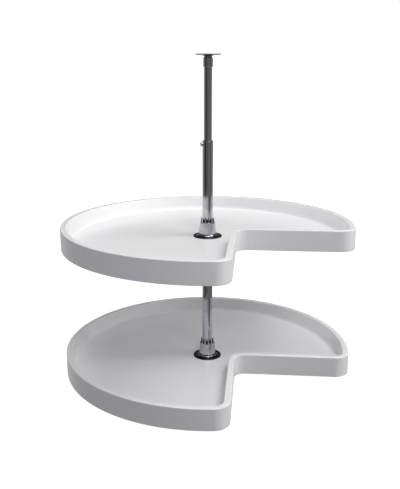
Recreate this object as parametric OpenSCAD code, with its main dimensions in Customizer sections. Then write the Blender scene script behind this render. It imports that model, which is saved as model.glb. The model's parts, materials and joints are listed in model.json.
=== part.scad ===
// Two-tier kidney carousel for a corner base cabinet.
// Two moulded kidney trays turn on a telescoping post that stands on a floor plate and
// reaches up to a top plate. Each tray hangs on a split collet that a tapered collar locks
// to the post. All sizes are in millimetres.
//
// Frame: the origin is the centre of the floor plate's underside, on the post's axis.
// +Z is up, and the notch of both trays opens towards +X and -Y.

/* [Post] */
// Height from the cabinet's floor to the face of the top plate
overall_h = 787; // [750:1:800]
// Height of the outer tube's top above the floor
outer_tube_top = 588; // [560:1:620]
// Outside diameter of the outer tube
outer_tube_d = 25.4; // [24:0.1:27]
// Wall thickness of the outer tube
outer_tube_wall = 1.2; // [0.9:0.1:1.5]
// Outside diameter of the inner tube
inner_tube_d = 19.05; // [17:0.05:20]
// Wall thickness of the inner tube
inner_tube_wall = 1.2; // [0.9:0.1:1.5]
// Length of inner tube that stays inside the outer tube as drawn
tube_overlap = 80; // [70:1:110]
// Length of the bush that guides the inner tube at the outer tube's mouth
guide_bush_h = 40; // [30:1:48]
// Height of the bush's collar above the outer tube's end
guide_bush_lip = 1; // [0.6:0.1:2]
// Length of the bush on the inner tube's foot
foot_bush_h = 18; // [10:1:24]

/* [Top plate and cap] */
// Diameter of the top plate
top_plate_d = 60; // [54:1:76]
// Thickness of the top plate
top_plate_t = 2.2; // [1.5:0.1:3]
// Diameter of the neck under the top plate
top_neck_d = 16; // [15:0.5:18]
// Length of the neck between the top plate and the cap
top_neck_h = 5.8; // [5:0.1:9]
// Radius of the flare that joins the neck to the plate
top_flare_r = 4; // [2:0.5:4.5]
// Diameter of the spigot that enters the cap
top_spigot_d = 12; // [9:0.5:13]
// Depth of the spigot in the cap
top_spigot_h = 5; // [3:0.5:6]
// Diameter of the cap on the inner tube
cap_d = 22.7; // [21.5:0.1:25]
// Height of the cap
cap_h = 21; // [18:0.5:28]
// Rounding of the cap's shoulders
cap_edge_r = 2.2; // [1:0.1:3]
// Thickness of the cap's end above the tube
cap_end_t = 6.5; // [6.2:0.1:9]
// Circle of the top plate's screw holes
top_hole_pcd = 42; // [38:1:46]
// Diameter of the top plate's screw holes
top_hole_d = 4.4; // [3.5:0.1:5.5]
// Number of screw holes in the top plate
top_hole_count = 3; // [3:1:6]

/* [Floor plate] */
// Diameter of the floor plate
floor_plate_d = 84; // [78:1:90]
// Thickness of the floor plate
floor_plate_t = 3; // [2:0.1:4]
// Wall of the socket that holds the post
socket_wall = 4.5; // [3.5:0.1:6]
// Height of the socket's rim above the floor
socket_h = 16; // [14:0.5:18]
// Circle of the floor plate's screw holes
floor_hole_pcd = 62; // [56:1:66]
// Diameter of the floor plate's screw holes
floor_hole_d = 5; // [4:0.1:6]
// Diameter of the countersinks at the top face
floor_sink_d = 9; // [7:0.1:10]
// Number of screw holes in the floor plate
floor_hole_count = 4; // [3:1:6]
// Diameter of the grub screw in the socket
grub_d = 5; // [4:0.5:6]
// Diameter of the hexagon socket in the grub screw, across its corners
grub_key_d = 2.9; // [2:0.1:3.3]

/* [Lock screw] */
// Diameter of the lock screw's shank
lock_d = 5; // [4:0.5:6]
// Diameter of the lock screw's head
lock_head_d = 9; // [8:0.5:10]
// Height of the lock screw's head
lock_head_h = 2.8; // [2.2:0.1:4]
// Width of the driver slot in the head
lock_slot_w = 1.3; // [0.8:0.1:1.6]
// Diameter of the boss on the outer tube
lock_boss_d = 10; // [9:0.5:11]
// Height of the boss above the tube
lock_boss_h = 2.6; // [2.4:0.1:3.5]
// Distance from the outer tube's top to the screw at the tube's face
lock_drop = 7.5; // [7:0.5:14]
// Compass turn of the screw about the post
lock_turn = 195; // [0:1:359]
// Downward tilt of the screw's head
lock_tilt = 25; // [0:1:28]

/* [Trays] */
// Diameter of the trays
tray_d = 711.2; // [610:0.1:813]
// Height of the tray's skirt
tray_h = 51; // [46:0.5:60]
// Depth of the tray's floor below the rim
tray_depth = 36; // [30:0.5:38]
// Width of the hollow rim
rim_w = 15; // [12:0.5:20]
// Wall thickness of the rim
rim_wall = 3; // [2.5:0.1:4]
// Rounding of the rim's upper edges
rim_edge_r = 2.4; // [1:0.1:2.5]
// Thickness of the tray's floor
tray_floor_t = 3; // [2.5:0.1:4]
// Radius of the cove between the floor and the wall
tray_cove_r = 11; // [3:0.5:12]
// Height by which the rim's inner wall stands out below the floor
rim_foot_h = 1; // [0.6:0.1:2]
// Distance from the post's axis to each face of the notch
notch_wall_at = 74; // [70:1:90]
// Radius of the notch's inner corner
notch_inner_r = 25; // [15:1:40]
// Radius of the corners where the notch meets the round skirt
notch_outer_r = 38; // [30:1:50]
// Gap between the cabinet's floor and the lower tray's skirt
tray_floor_gap = 24; // [23:1:60]
// Distance from the lower tray's rim to the upper tray's rim
tray_pitch = 316; // [260:1:340]

/* [Tray ribs] */
// Number of radial ribs under a full circle
rib_count = 16; // [8:4:24]
// Thickness of the ribs
rib_t = 2.4; // [1.8:0.1:3]
// Depth of the ribs below the floor
rib_h = 8; // [5:0.5:9]
// Radius of the ring rib under the floor
ring_rib_r = 195; // [150:5:250]

/* [Hub] */
// Diameter of the hub plate on the tray's floor
hub_plate_d = 71; // [66:1:80]
// Thickness of the hub plate's outer flange
hub_plate_t = 2.4; // [2:0.1:3]
// Diameter of the hub plate's raised middle
hub_step_d = 58; // [52:1:62]
// Height of the hub plate's raised middle above the tray's floor
hub_step_h = 4; // [3.4:0.1:5]
// Wall thickness of the hub plate's spigot
hub_spigot_wall = 4; // [3:0.1:5]
// Diameter of the boss under the tray's floor
hub_boss_d = 68; // [66:1:74]
// Depth of the boss under the tray's floor
hub_boss_h = 3; // [2:0.5:4]
// Diameter of the ring nut that holds the hub plate
hub_nut_d = 60; // [56:1:62]
// Thickness of the ring nut
hub_nut_t = 4; // [3:0.1:5]
// Length of spigot that stands out below the ring nut
hub_spigot_end = 0.4; // [0.2:0.1:1]
// Thickness of the thrust washer
washer_t = 1.2; // [0.8:0.1:2]
// Width of the ledge on which the washer runs
ledge_w = 8; // [6:0.5:9]
// Thickness of the collet's flange
collet_flange_t = 3.2; // [2.5:0.1:4]
// Wall thickness of the collet where the hub plate runs
collet_wall = 3.2; // [3:0.1:4.5]
// Wall thickness of the collet at the tips of its fingers
collet_tip_wall = 2.2; // [1.6:0.1:2.4]
// Height of the collet's tips above the tray's floor
collet_tip_z = 43; // [40:1:46]
// Number of slots between the collet's fingers
collet_slots = 6; // [4:1:8]
// Width of the collet's slots
collet_slot_w = 2; // [1:0.1:3]
// Length of the collet's slots
collet_slot_h = 26; // [20:1:30]

/* [Lock collar] */
// Height of the collar's top above the tray's floor
collar_top_z = 48; // [47:0.5:56]
// Wall thickness of the collar at its foot
collar_foot_wall = 4.9; // [4:0.1:6]
// Wall thickness of the collar just below its notched crown
collar_neck_wall = 3.6; // [3:0.1:4.4]
// Wall thickness of the collar's notched crown
collar_crown_wall = 2.1; // [1.6:0.1:2.6]
// Height of the notched crown
crown_h = 12; // [8:0.5:14]
// Number of notches in the crown
crown_notches = 12; // [8:1:12]
// Width of the crown's notches
crown_notch_w = 5; // [3:0.1:5.5]

/* [Fits] */
// Radial clearance of everything that slides or turns
running = 0.08; // [0.05:0.01:0.1]
// Clearance between pieces that are fixed together
seat = 0.05; // [0.02:0.01:0.08]
// Play between faces that turn on each other
face_play = 0.1; // [0.05:0.01:0.3]
// Gap between the lock collar's foot and the hub plate
collar_gap = 0.4; // [0.3:0.1:1]
// Gap between the lock screw's tip and the inner tube
tip_gap = 0.3; // [0.2:0.1:0.5]

/* [Hidden] */
$fn = 128;
// Overshoot of a cutting shape past the face that it cuts
cut = 1;

// Post
outer_r = outer_tube_d / 2;
outer_bore_r = outer_r - outer_tube_wall;
inner_r = inner_tube_d / 2;
top_plate_z = overall_h - top_plate_t;
cap_top_z = top_plate_z - top_neck_h;
cap_z = cap_top_z - cap_h;
inner_top_z = cap_top_z - cap_end_t;
inner_z = outer_tube_top - tube_overlap;
socket_r = outer_r + seat + socket_wall;
grub_z = (floor_plate_t + socket_h) / 2;

// Lock screw: distances along its own axis, measured from the post's axis
lock_face_s = outer_r / cos(lock_tilt);
lock_axis_z = outer_tube_top - lock_drop + outer_r * tan(lock_tilt);
lock_point_r = lock_d / 4;
lock_tip_s = (inner_r + tip_gap + lock_point_r * sin(lock_tilt)) / cos(lock_tilt);
lock_head_s = lock_face_s + lock_boss_h + face_play;

// Trays
tray_r = tray_d / 2;
lower_rim_z = tray_floor_gap + tray_h;
upper_rim_z = lower_rim_z + tray_pitch;
floor_under = tray_depth + tray_floor_t;
// Centre of the corner where the notch's face meets the round skirt
corner_y = notch_outer_r - notch_wall_at;
corner_x = sqrt(pow(tray_r - notch_outer_r, 2) - pow(corner_y, 2));
corner_turn = atan2(corner_y, corner_x);
// Centre of the notch's inner corner, on both axes
apex = notch_wall_at + notch_inner_r;
// Turn by which the round skirt laps into the notch's corners, and their extra size there
lap_turn = 0.1;
lap_grow = 0.02;

// Hub heights are measured from the top of the tray's floor
hub_under = tray_floor_t + hub_boss_h;
spigot_end_z = -(hub_under + hub_nut_t + hub_spigot_end);
washer_z = spigot_end_z - face_play - washer_t;
collet_top_face_z = washer_z - face_play;
collet_z = collet_top_face_z - collet_flange_t;
collar_z = hub_step_h + collar_gap;
crown_z = collar_top_z - crown_h;
collet_bore_r = outer_r + running;
stem_r = collet_bore_r + collet_wall;
tip_r = collet_bore_r + collet_tip_wall;
spigot_bore_r = stem_r + running;
spigot_r = spigot_bore_r + hub_spigot_wall;
ledge_r = spigot_bore_r + ledge_w;
collar_foot_r = stem_r + running + collar_foot_wall;
collar_crown_r = tip_r + running + collar_crown_wall;

chrome = [0.75, 0.76, 0.79];
polymer_white = [0.94, 0.94, 0.94];
polymer_black = [0.05, 0.05, 0.06];
nylon = [0.85, 0.84, 0.80];

// ---- Shared shapes ----

// Points of an arc about c, from angle a to angle b
function arc(c, r, a, b, steps = 8) = [
    for (i = [0:steps])
        let (t = a + (b - a) * i / steps)
        c + r * [cos(t), sin(t)]
];

// Points mirrored in the diagonal that halves the notch, in reverse order
function across(points) = [
    for (i = [len(points) - 1:-1:0])
        [-points[i][1], -points[i][0]]
];

// Half section of a round bar with both end edges rounded
module rounded_half(r, h, edge) {
    square([r - edge, h]);
    translate([0, edge])
        square([r, h - 2 * edge]);
    for (y = [edge, h - edge])
        translate([r - edge, y])
            circle(edge);
}

// A plain ring from height z
module ring(outer, bore, h, z = 0) {
    translate([0, 0, z])
        difference() {
            cylinder(r = outer, h = h);
            translate([0, 0, -cut])
                cylinder(r = bore, h = h + 2 * cut);
        }
}

// Copies its children evenly round the post's axis
module around(count) {
    for (i = [0:count - 1])
        rotate([0, 0, i * 360 / count])
            children();
}

// ---- Post ----

module floor_plate() color(chrome) {
    sink_h = (floor_sink_d - floor_hole_d) / 2;
    difference() {
        union() {
            cylinder(d = floor_plate_d, h = floor_plate_t);
            cylinder(r = socket_r, h = socket_h);
        }
        translate([0, 0, floor_plate_t])
            cylinder(r = outer_r + seat, h = socket_h);
        around(floor_hole_count)
            rotate([0, 0, 180 / floor_hole_count])
                translate([floor_hole_pcd / 2, 0, 0]) {
                    translate([0, 0, -cut])
                        cylinder(d = floor_hole_d, h = floor_plate_t + 2 * cut);
                    translate([0, 0, floor_plate_t - sink_h])
                        cylinder(d1 = floor_hole_d, d2 = floor_sink_d + 2 * cut, h = sink_h + cut);
                }
        translate([0, 0, grub_z])
            rotate([0, 90, 0])
                cylinder(d = grub_d, h = socket_r + cut);
    }
}

module socket_grub_screw() color(chrome) {
    difference() {
        translate([outer_r + seat, 0, grub_z])
            rotate([0, 90, 0])
                cylinder(d = grub_d - 2 * seat, h = socket_wall);
        translate([socket_r - socket_wall / 2, 0, grub_z])
            rotate([0, 90, 0])
                cylinder(d = grub_key_d, h = socket_wall, $fn = 6);
    }
}

// Puts its children on the lock screw's axis, with +Z pointing out of the post
module on_lock_axis() {
    translate([0, 0, lock_axis_z])
        rotate([0, 0, lock_turn])
            rotate([0, 90 + lock_tilt, 0])
                children();
}

module outer_tube() color(chrome) {
    difference() {
        ring(outer_r, outer_bore_r, outer_tube_top - floor_plate_t, floor_plate_t);
        on_lock_axis()
            cylinder(r = lock_d / 2 + tip_gap, h = lock_head_s);
    }
}

module guide_bush() color(chrome) {
    bore = inner_r + running;
    difference() {
        union() {
            ring(outer_bore_r - seat, bore, guide_bush_h, outer_tube_top - guide_bush_h);
            ring(outer_r - outer_tube_wall / 2, bore, guide_bush_lip, outer_tube_top);
        }
        on_lock_axis()
            cylinder(r = lock_d / 2 + 2 * tip_gap, h = lock_head_s);
    }
}

module lock_boss() color(chrome) {
    difference() {
        on_lock_axis()
            translate([0, 0, lock_face_s - lock_boss_h])
                cylinder(d = lock_boss_d, h = 2 * lock_boss_h);
        cylinder(r = outer_r + seat, h = overall_h);
        on_lock_axis()
            cylinder(r = lock_d / 2 + running, h = lock_head_s + cut);
    }
}

module lock_screw() color(chrome) {
    point_h = lock_d / 2 - lock_point_r;
    shank_s = lock_tip_s + point_h;
    head_edge_r = lock_head_h / 2.4;
    on_lock_axis()
        difference() {
            union() {
                translate([0, 0, lock_tip_s])
                    cylinder(r1 = lock_point_r, r2 = lock_d / 2, h = point_h);
                translate([0, 0, shank_s])
                    cylinder(d = lock_d, h = lock_head_s - shank_s + cut);
                translate([0, 0, lock_head_s])
                    rotate_extrude()
                        intersection() {
                            rounded_half(lock_head_d / 2, lock_head_h, head_edge_r);
                            square([lock_head_d, lock_head_h]);
                        }
            }
            translate([-lock_head_d / 2 - cut, -lock_slot_w / 2, lock_head_s + lock_head_h / 2])
                cube([lock_head_d + 2 * cut, lock_slot_w, lock_head_h]);
        }
}

module inner_tube() color(chrome)
    ring(inner_r, inner_r - inner_tube_wall, inner_top_z - inner_z, inner_z);

module foot_bush() color(nylon)
    ring(outer_bore_r - running, inner_r + seat, foot_bush_h, inner_z);

module top_cap() color(chrome) {
    difference() {
        translate([0, 0, cap_z])
            rotate_extrude()
                intersection() {
                    rounded_half(cap_d / 2, cap_h, cap_edge_r);
                    square([cap_d, cap_h]);
                }
        translate([0, 0, cap_z - cut])
            cylinder(r = inner_r + seat, h = inner_top_z - cap_z + cut);
        translate([0, 0, cap_z])
            cylinder(r = top_spigot_d / 2 + seat, h = cap_h + cut);
    }
}

module top_plate() color(chrome) {
    neck_r = top_neck_d / 2;
    difference() {
        union() {
            translate([0, 0, top_plate_z])
                cylinder(d = top_plate_d, h = top_plate_t);
            translate([0, 0, cap_top_z])
                cylinder(r = neck_r, h = top_neck_h + top_plate_t / 2);
            translate([0, 0, cap_top_z - top_spigot_h])
                cylinder(d = top_spigot_d, h = top_spigot_h + top_neck_h);
            translate([0, 0, top_plate_z - top_flare_r])
                rotate_extrude()
                    translate([neck_r, 0])
                        difference() {
                            translate([-neck_r / 2, 0])
                                square([neck_r / 2 + top_flare_r, top_flare_r + top_plate_t / 2]);
                            translate([top_flare_r, 0])
                                circle(top_flare_r);
                        }
        }
        around(top_hole_count)
            translate([top_hole_pcd / 2, 0, top_plate_z - cut])
                cylinder(d = top_hole_d, h = top_plate_t + 2 * cut);
    }
}

// ---- Trays ----

// Section of the hollow rim, with every face moved out by grow.
// X runs inwards from the skirt's face, and Y = 0 is the rim's top
module rim_section(grow = 0) {
    wall = rim_wall + 2 * grow;
    inner_h = floor_under + rim_foot_h;
    cove_h = tray_cove_r + tray_floor_t / 2;
    translate([-grow, -tray_h - grow])
        square([wall, tray_h - rim_edge_r + grow]);
    translate([-grow, -rim_wall - grow])
        square([rim_w + 2 * grow, rim_wall - rim_edge_r + grow]);
    translate([rim_edge_r, -rim_wall - grow])
        square([rim_w - 2 * rim_edge_r, wall]);
    for (x = [rim_edge_r, rim_w - rim_edge_r])
        translate([x, -rim_edge_r])
            circle(rim_edge_r + grow);
    translate([rim_w - rim_wall - grow, -inner_h - grow])
        square([wall, inner_h - rim_edge_r + grow]);
    difference() {
        translate([rim_w - rim_wall, tray_cove_r - tray_depth - cove_h])
            square([rim_wall + tray_cove_r, cove_h]);
        translate([rim_w + tray_cove_r, tray_cove_r - tray_depth])
            circle(tray_cove_r - grow);
    }
}

// Half of the notch's rim, from the round skirt to the inner corner: corner and straight face
module notch_side() {
    translate([corner_x, corner_y, 0])
        rotate([0, 0, -90])
            rotate_extrude(angle = 90 + corner_turn)
                translate([notch_outer_r, 0])
                    mirror([1, 0])
                        rim_section(lap_grow);
    translate([apex, -notch_wall_at, 0])
        rotate([90, 0, 90])
            linear_extrude(corner_x - apex)
                rim_section(lap_grow);
}

// The rim's section carried round the kidney outline. The round skirt's ends lap inside
// the notch's corners, whose section is a hair larger
module kidney_rim() {
    rotate([0, 0, corner_turn - lap_turn])
        rotate_extrude(angle = 270 - 2 * (corner_turn - lap_turn))
            translate([tray_r, 0])
                mirror([1, 0])
                    rim_section();
    notch_side();
    mirror([1, 1, 0])
        notch_side();
    translate([apex, -apex, 0])
        rotate([0, 0, 90])
            rotate_extrude(angle = 90)
                translate([notch_inner_r, 0])
                    rim_section(lap_grow);
}

// Flat kidney outline that lies a distance d inside the skirt's face
module kidney_face(d) {
    beyond = 2 * tray_r;
    side = concat(
        [beyond * [cos(corner_turn), sin(corner_turn)]],
        arc([corner_x, corner_y], notch_outer_r - d, corner_turn, -90),
        arc([apex, -apex], notch_inner_r + d, 90, 135, 4)
    );
    difference() {
        circle(tray_r - d);
        polygon(concat(side, across(side), [[beyond, -beyond]]));
    }
}

// Plan of the ribs under the floor
module rib_plan() {
    around(rib_count)
        translate([hub_boss_d / 2 - rib_t, -rib_t / 2])
            square([tray_r, rib_t]);
    difference() {
        circle(ring_rib_r + rib_t / 2);
        circle(ring_rib_r - rib_t / 2);
    }
}

// One kidney tray, with its rim's top at Z = 0
module tray() color(polymer_white) {
    difference() {
        union() {
            kidney_rim();
            translate([0, 0, -floor_under])
                linear_extrude(tray_floor_t)
                    kidney_face(rim_w - rim_wall / 2);
            translate([0, 0, -floor_under - rib_h])
                linear_extrude(rib_h + tray_floor_t / 2)
                    intersection() {
                        rib_plan();
                        kidney_face(rim_wall / 2);
                    }
            translate([0, 0, -tray_depth - hub_under])
                cylinder(d = hub_boss_d, h = hub_under - tray_floor_t / 2);
        }
        translate([0, 0, -tray_h - cut])
            cylinder(r = spigot_r + seat, h = tray_h + 2 * cut);
    }
}

// ---- Hub pieces, with the top of the tray's floor at Z = 0 ----

module hub_plate() color(polymer_black) {
    plate_edge_r = hub_plate_t / 2.2;
    step_edge_r = hub_step_h / 3;
    difference() {
        union() {
            rotate_extrude()
                intersection() {
                    union() {
                        rounded_half(hub_plate_d / 2, hub_plate_t, plate_edge_r);
                        rounded_half(hub_step_d / 2, hub_step_h, step_edge_r);
                    }
                    square([hub_plate_d, hub_step_h]);
                }
            translate([0, 0, spigot_end_z])
                cylinder(r = spigot_r, h = hub_plate_t / 2 - spigot_end_z);
        }
        translate([0, 0, spigot_end_z - cut])
            cylinder(r = spigot_bore_r, h = hub_step_h - spigot_end_z + 2 * cut);
    }
}

// Ring nut on the spigot, with notches for a spanner round its edge
module ring_nut() color(polymer_black) {
    notch = hub_nut_t;
    notch_count = 6;
    difference() {
        ring(hub_nut_d / 2, spigot_r + seat, hub_nut_t, -hub_under - hub_nut_t);
        around(notch_count)
            translate([hub_nut_d / 2 - notch / 2, -notch / 2, -hub_under - hub_nut_t - cut])
                cube([notch, notch, hub_nut_t + 2 * cut]);
    }
}

module thrust_washer() color(nylon)
    ring(ledge_r, stem_r + running, washer_t, washer_z);

// Split collet: the flange carries the tray and the fingers grip the post
module collet() color(polymer_black) {
    difference() {
        rotate_extrude()
            polygon([
                [collet_bore_r, collet_z],
                [ledge_r, collet_z],
                [ledge_r, collet_top_face_z],
                [stem_r, collet_top_face_z],
                [stem_r, collar_z],
                [tip_r, collet_tip_z],
                [collet_bore_r, collet_tip_z]
            ]);
        around(collet_slots)
            translate([0, -collet_slot_w / 2, collet_tip_z - collet_slot_h])
                cube([stem_r + cut, collet_slot_w, collet_slot_h + cut]);
    }
}

// Tapered collar that closes the collet's fingers on the post
module lock_collar() color(chrome) {
    neck_r = collar_crown_r - collar_crown_wall + collar_neck_wall;
    shoulder_h = collar_crown_wall;
    body_h = crown_z - shoulder_h - collar_z;
    bulge_steps = 8;
    difference() {
        rotate_extrude()
            polygon(concat(
                [[stem_r + running, collar_z]],
                [
                    for (i = [0:bulge_steps])
                        let (t = i / bulge_steps)
                        [
                            collar_foot_r - (collar_foot_r - neck_r) * pow(t, 2),
                            collar_z + body_h * t
                        ]
                ],
                [
                    [collar_crown_r, crown_z - shoulder_h / 2],
                    [collar_crown_r, collar_top_z],
                    [tip_r + running, collar_top_z],
                    [tip_r + running, collet_tip_z]
                ]
            ));
        around(crown_notches)
            rotate([0, 0, -90])
                translate([0, -crown_notch_w / 2, crown_z])
                    cube([collar_foot_r + cut, crown_notch_w, crown_h + cut]);
    }
}

// ---- The two levels ----

module at_upper_rim() translate([0, 0, upper_rim_z]) children();
module at_lower_rim() translate([0, 0, lower_rim_z]) children();
module at_upper_hub() translate([0, 0, upper_rim_z - tray_depth]) children();
module at_lower_hub() translate([0, 0, lower_rim_z - tray_depth]) children();

floor_plate();
socket_grub_screw();
outer_tube();
guide_bush();
lock_boss();
lock_screw();
inner_tube();
foot_bush();
top_cap();
top_plate();

at_upper_rim() tray();  // upper_tray
at_upper_hub() hub_plate();  // upper_hub_plate
at_upper_hub() ring_nut();  // upper_ring_nut
at_upper_hub() thrust_washer();  // upper_thrust_washer
at_upper_hub() collet();  // upper_collet
at_upper_hub() lock_collar();  // upper_lock_collar

at_lower_rim() tray();  // lower_tray
at_lower_hub() hub_plate();  // lower_hub_plate
at_lower_hub() ring_nut();  // lower_ring_nut
at_lower_hub() thrust_washer();  // lower_thrust_washer
at_lower_hub() collet();  // lower_collet
at_lower_hub() lock_collar();  // lower_lock_collar
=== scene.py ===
# %% [markdown]
# # A kidney carousel for a corner cabinet
# The object is a chromed post that carries two white kidney-shaped trays. The trays turn, so
# that what stands at the back of a corner cabinet comes round to the door. A CAD model fixes
# every size, fit and joint of it, and this lesson dresses that model for a picture. Each cell
# makes one piece or one finish, and no cell moves a CAD part.

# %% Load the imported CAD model
import json
import math

import bmesh
import bpy
from mathutils import Matrix, Vector


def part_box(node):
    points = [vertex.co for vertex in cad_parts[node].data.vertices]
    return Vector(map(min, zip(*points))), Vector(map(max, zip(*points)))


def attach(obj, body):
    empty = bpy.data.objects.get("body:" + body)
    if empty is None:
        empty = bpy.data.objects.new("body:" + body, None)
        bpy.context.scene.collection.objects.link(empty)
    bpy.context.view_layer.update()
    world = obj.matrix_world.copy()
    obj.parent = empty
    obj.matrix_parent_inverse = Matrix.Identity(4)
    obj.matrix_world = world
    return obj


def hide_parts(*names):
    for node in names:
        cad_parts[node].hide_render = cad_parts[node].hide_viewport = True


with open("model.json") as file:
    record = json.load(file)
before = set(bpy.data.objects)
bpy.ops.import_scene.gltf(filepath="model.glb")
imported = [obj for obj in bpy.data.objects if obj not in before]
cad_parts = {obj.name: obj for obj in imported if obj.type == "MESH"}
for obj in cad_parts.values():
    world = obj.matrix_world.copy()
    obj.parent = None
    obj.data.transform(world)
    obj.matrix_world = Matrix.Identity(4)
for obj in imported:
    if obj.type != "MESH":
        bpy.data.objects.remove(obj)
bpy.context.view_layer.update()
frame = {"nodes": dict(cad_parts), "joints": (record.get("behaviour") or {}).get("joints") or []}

# %% [markdown]
# ## Sizes
# Heights are read from the CAD nodes' own boxes, so the pieces made here sit where the model
# says. A CAD node's round walls are made of flats, and its box can fall a hair short of the
# true radius. So radii are repeated here from the design, in metres, and so are the walls,
# roundings and fits, which no box shows.

# %% Read the heights and repeat the radii
LEVELS = ("upper", "lower")
RIM_TOP = {level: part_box(f"{level}_tray")[1].z for level in LEVELS}
TRAY_R = 0.3556
TRAY_H = 0.051
TRAY_DEPTH = 0.036
TRAY_FLOOR = 0.003
FLOOR_UNDER = TRAY_DEPTH + TRAY_FLOOR
OUTER_R = 0.0127
OUTER_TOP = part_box("outer_tube")[1].z
OUTER_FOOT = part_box("outer_tube")[0].z
INNER_R = 0.009525
INNER_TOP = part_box("inner_tube")[1].z
INNER_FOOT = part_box("inner_tube")[0].z
CAP_LOW, CAP_HIGH = (corner.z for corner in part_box("top_cap"))
PLATE_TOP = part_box("top_plate")[1].z
print("rim tops:", RIM_TOP, "post:", round(OUTER_TOP, 4), round(PLATE_TOP, 4))

# %% [markdown]
# ## Helpers for outlines
# Turned and moulded pieces start as an outline. An outline is easiest to read as a short list
# of corners, each with the radius that rounds it, and one helper turns that list into points.


# %% Rounded corners, arcs and new objects
def link(name, data):
    """A new object in the scene."""
    made = bpy.data.objects.new(name, data)
    bpy.context.scene.collection.objects.link(made)
    return made


def arc(centre, radius, start, end, steps):
    """Points of an arc, with angles in degrees and both ends included."""
    turns = (math.radians(start + (end - start) * i / steps) for i in range(steps + 1))
    return [(centre[0] + radius * math.cos(t), centre[1] + radius * math.sin(t)) for t in turns]


def rounded(corners, steps=6):
    """Points of an outline whose corners are (x, y, radius of the rounding)."""
    points = []
    for i, (x, y, radius) in enumerate(corners):
        here = Vector((x, y))
        if not radius:
            points.append((x, y))
            continue
        back = (Vector(corners[i - 1][:2]) - here).normalized()
        on = (Vector(corners[(i + 1) % len(corners)][:2]) - here).normalized()
        half = back.angle(on) / 2
        centre = here + (back + on).normalized() * radius / math.sin(half)
        first = here + back * radius / math.tan(half) - centre
        last = here + on * radius / math.tan(half) - centre
        start = math.degrees(math.atan2(first.y, first.x))
        turn = (math.degrees(math.atan2(last.y, last.x)) - start + 180) % 360 - 180
        points += arc(centre, radius, start, start + turn, steps)
    return points


def drawn(name, points, closed):
    """A poly curve object in the XY plane, for a Geometry Nodes tree to read."""
    data = bpy.data.curves.new(name, "CURVE")
    data.dimensions = "3D"
    spline = data.splines.new("POLY")
    spline.points.add(len(points) - 1)
    for point, (x, y) in zip(spline.points, points):
        point.co = (x, y, 0, 1)
    spline.use_cyclic_u = closed
    return link(name, data)


print("a rounded square has", len(rounded([(0, 0, 1), (9, 0, 1), (9, 9, 1), (0, 9, 1)])), "points")

# %% [markdown]
# ## Helpers for finished meshes
# A modelled piece gets smooth shading with sharp edges where faces meet at a steep angle. The
# Weighted Normal modifier then keeps large flat faces flat beside small roundings, so that
# gloss runs over them without smears. Its result is kept as a plain mesh.

# %% From any host object to a plain, shaded mesh
EDGE_ANGLE = math.radians(32)
DOUBLE_GAP = 1e-6
EMPTY_EDGE = 1e-7


def evaluated(host, name):
    """The host's mesh with its modifiers applied, as a new object. The host is deleted."""
    graph = bpy.context.evaluated_depsgraph_get()
    mesh = bpy.data.meshes.new_from_object(host.evaluated_get(graph))
    bpy.data.objects.remove(host)
    mesh.name = name
    return link(name, mesh)


def outward(mesh):
    """Turns every face of a closed mesh outwards, after its doubles are merged."""
    work = bmesh.new()
    work.from_mesh(mesh)
    bmesh.ops.remove_doubles(work, verts=work.verts, dist=DOUBLE_GAP)
    bmesh.ops.dissolve_degenerate(work, edges=work.edges, dist=EMPTY_EDGE)
    bmesh.ops.recalc_face_normals(work, faces=work.faces)
    work.to_mesh(mesh)
    work.free()


def shaded(host, name, material):
    """A plain mesh with clean normals and its material. The host is deleted."""
    made = evaluated(host, name + "_raw")
    outward(made.data)
    made.data.materials.clear()
    made.data.materials.append(material)
    made.data.polygons.foreach_set("use_smooth", [True] * len(made.data.polygons))
    made.data.set_sharp_from_angle(angle=EDGE_ANGLE)
    weighted = made.modifiers.new("weighted", "WEIGHTED_NORMAL")
    weighted.keep_sharp = True
    made = evaluated(made, name)
    print(f"{name}: {len(made.data.polygons)} faces")
    return made


def stands_for(piece, node, body):
    """Puts a finished piece in place of a CAD node, on the node's own body."""
    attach(piece, body)
    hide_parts(node)


# %% [markdown]
# ## Helpers for node trees
# Shader trees and geometry trees are built the same way: add a node, set its options, and feed
# its sockets with a value or with another node's output. One helper does that for both.


# %% Add a node with its inputs
def node(tree, kind, inputs=None, **options):
    """Adds a node. inputs maps a socket's name or number to a value or an output socket."""
    made = tree.nodes.new(kind)
    for key, value in options.items():
        setattr(made, key, value)
    for key, value in (inputs or {}).items():
        if isinstance(value, bpy.types.NodeSocket):
            tree.links.new(value, made.inputs[key])
        else:
            made.inputs[key].default_value = value
    return made


def maths(tree, operation, *values):
    """A Math node's output, in a shader tree or a geometry tree."""
    return node(tree, "ShaderNodeMath", dict(enumerate(values)), operation=operation).outputs[0]


def ramp(tree, value, low, high, from_low=0.0, from_high=1.0):
    """A value stretched from one range to another."""
    inputs = {"Value": value, "From Min": from_low, "From Max": from_high,
              "To Min": low, "To Max": high}
    return node(tree, "ShaderNodeMapRange", inputs).outputs["Result"]


# %% [markdown]
# ## Finishes
# Every finish is one Principled shader. What makes it look real is small: a fine noise in the
# bump, as a mould or a polishing wheel leaves it, and a slow noise in the roughness, as
# handling leaves it. All patterns read Object coordinates, which are metres here, so a noise
# scale of 1000 has grains of about a millimetre.


# %% Start a finish
def start_finish(name, colour, metallic=0.0):
    """A material, its tree, its shader and its Object coordinates."""
    material = bpy.data.materials.new(name)
    material.use_nodes = True
    tree = material.node_tree
    shader = tree.nodes["Principled BSDF"]
    shader.inputs["Base Color"].default_value = (*colour, 1)
    shader.inputs["Metallic"].default_value = metallic
    place = node(tree, "ShaderNodeTexCoord").outputs["Object"]
    return material, tree, shader, place


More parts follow.
